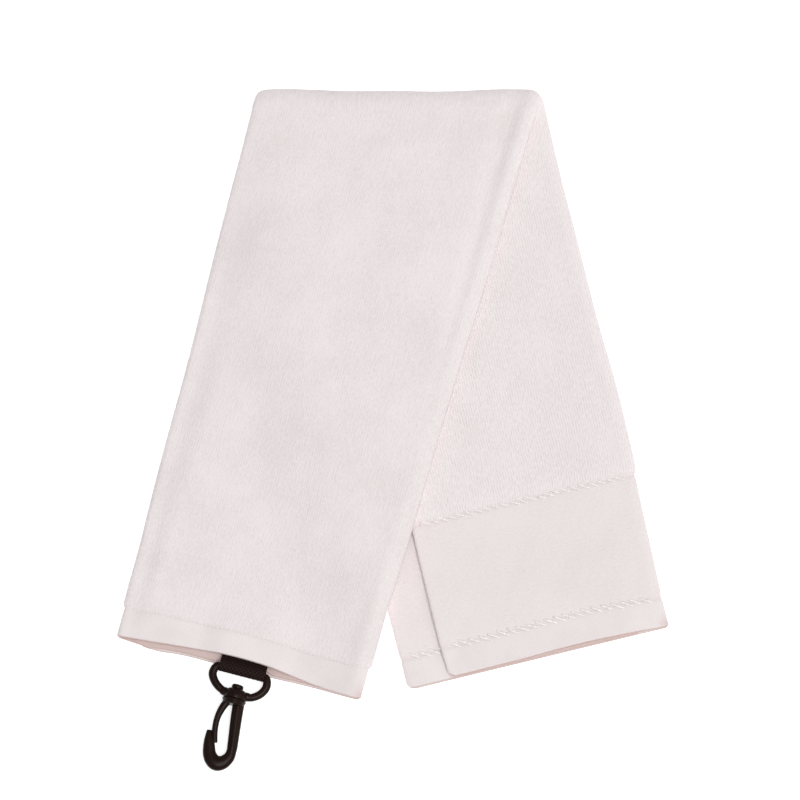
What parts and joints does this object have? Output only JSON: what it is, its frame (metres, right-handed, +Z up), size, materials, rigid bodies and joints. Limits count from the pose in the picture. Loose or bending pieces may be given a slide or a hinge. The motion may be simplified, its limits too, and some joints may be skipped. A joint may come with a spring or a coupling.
{
  "type": "golf towel",
  "caption": "White cotton golf towel, folded lengthwise and then in half, with a black webbing loop, a plastic ring and a swivel snap hook with a spring gate.",
  "frame": {"origin": "centre of the laid towel's bounding box, on the surface it lies on", "axes": "+Y from the hook towards the half fold, +X across the towel to the border leg's side, +Z up from the surface"},
  "size_m": [0.3068, 0.3821, 0.0169],
  "materials": {
    "terry_cloth": "soft cotton velour and terry pile",
    "woven_border": "smooth flat weave",
    "plain_hem": "ribbed flat weave",
    "border_cord": "lustrous twisted cord",
    "sewing_thread": "twisted thread",
    "webbing": "black woven webbing",
    "hook_plastic": "satin moulded"
  },
  "bodies": {
    "back_leg": {"back_half_cloth": "terry_cloth", "fold_over_bend": "terry_cloth", "border_band": "woven_border", "upper_border_cord": "border_cord", "lower_border_cord": "border_cord", "border_end_hem": "plain_hem", "flap_side_thread": "sewing_thread"},
    "front_leg": {"front_half_cloth": "terry_cloth", "hook_end_hem": "plain_hem", "hook_hem_thread": "sewing_thread", "webbing_loop": "webbing"},
    "ring": {"swivel_ring": "hook_plastic"},
    "hook": {"hook_body": "hook_plastic"},
    "gate": {"spring_gate": "hook_plastic"}
  },
  "joints": [
    {"name": "half_fold", "type": "hinge", "parent": "back_leg", "child": "front_leg", "pos_m": [0, 0.18855, 0.00845], "axis": [-1, 0, 0], "range_deg": [0, 179.5], "deforming": ["fold_over_bend"]},
    {"name": "ring_tilt", "type": "hinge", "parent": "front_leg", "child": "ring", "pos_m": [-0.0836, -0.13475, 0.0067], "axis": [-0.9673, 0.2538, 0], "range_deg": [0, 110]},
    {"name": "hook_swivel", "type": "hinge", "parent": "ring", "child": "hook", "pos_m": [-0.0836, -0.13475, 0.0067], "axis": [-0.2538, -0.9673, 0], "continuous": true},
    {"name": "gate_flex", "type": "hinge", "parent": "hook", "child": "gate", "pos_m": [-0.09364, -0.15372, 0.0067], "axis": [0, 0, 1], "range_deg": [0, 13], "stiffness_Nm_per_rad": 0.3, "springref_deg": -2.29}
  ]
}
